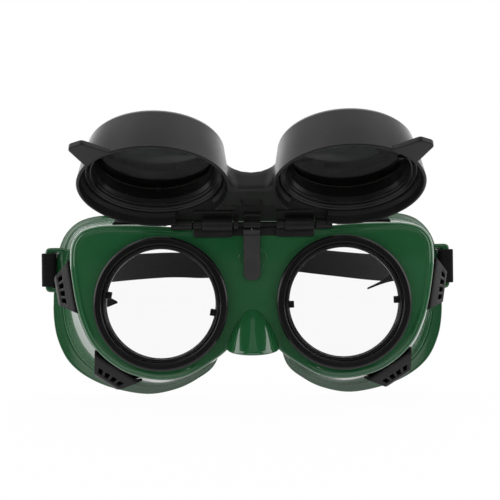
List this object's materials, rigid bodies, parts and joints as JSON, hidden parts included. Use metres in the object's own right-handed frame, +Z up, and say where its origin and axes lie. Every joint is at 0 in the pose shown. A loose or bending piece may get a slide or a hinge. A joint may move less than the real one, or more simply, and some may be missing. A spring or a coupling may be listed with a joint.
{
  "type": "welding goggles",
  "caption": "Soft vented goggles with round clear lenses, a hinged front of dark shade lenses in cups that flips up, and an elastic head strap.",
  "frame": {"origin": "middle of the face seal, level with the lens centres", "axes": "-Y the way the wearer looks, +X to the right as seen from the front, +Z up"},
  "size_m": [0.187, 0.294, 0.119],
  "materials": {
    "soft_green": "glossy soft moulding",
    "black_plastic": "satin moulded",
    "dark_spring": "matt dark coating",
    "dark_steel": "blackened",
    "fibre_washer": "matt pressed fibre",
    "clear_glass": "clear polished",
    "shade_glass": "very dark polished",
    "black_elastic": "ribbed woven elastic"
  },
  "bodies": {
    "mask": {"mask_body": "soft_green", "bezel_left": "black_plastic", "bezel_right": "black_plastic", "lens_ring_left": "black_plastic", "lens_ring_right": "black_plastic", "vent_top_left": "black_plastic", "vent_top_right": "black_plastic", "vent_side_left": "black_plastic", "vent_side_right": "black_plastic", "vent_lower_left": "black_plastic", "vent_lower_right": "black_plastic", "hinge_bracket_left": "black_plastic", "hinge_bracket_right": "black_plastic", "clear_lens_left": "clear_glass", "clear_lens_right": "clear_glass", "lens_washer_left": "fibre_washer", "lens_washer_right": "fibre_washer", "detent_tongue": "dark_spring", "hinge_pin": "dark_steel", "head_strap": "black_elastic"},
    "front": {"flip_frame": "black_plastic", "shade_ring_left": "black_plastic", "shade_ring_right": "black_plastic", "shade_washer_left": "fibre_washer", "shade_washer_right": "fibre_washer", "shade_lens_left": "shade_glass", "shade_lens_right": "shade_glass", "cover_lens_left": "clear_glass", "cover_lens_right": "clear_glass"},
    "adjuster_left": {"strap_adjuster_left": "black_plastic"},
    "adjuster_right": {"strap_adjuster_right": "black_plastic"}
  },
  "joints": [
    {"name": "flip_front", "type": "hinge", "parent": "mask", "child": "front", "pos_m": [0, -0.037, 0.0336], "axis": [1, 0, 0], "range_deg": [0, 118.3]},
    {"name": "slide_left", "type": "slide", "parent": "mask", "child": "adjuster_left", "axis": [0, 1, 0], "range_m": [0, 0.018]},
    {"name": "slide_right", "type": "slide", "parent": "mask", "child": "adjuster_right", "axis": [0, 1, 0], "range_m": [0, 0.018]}
  ]
}
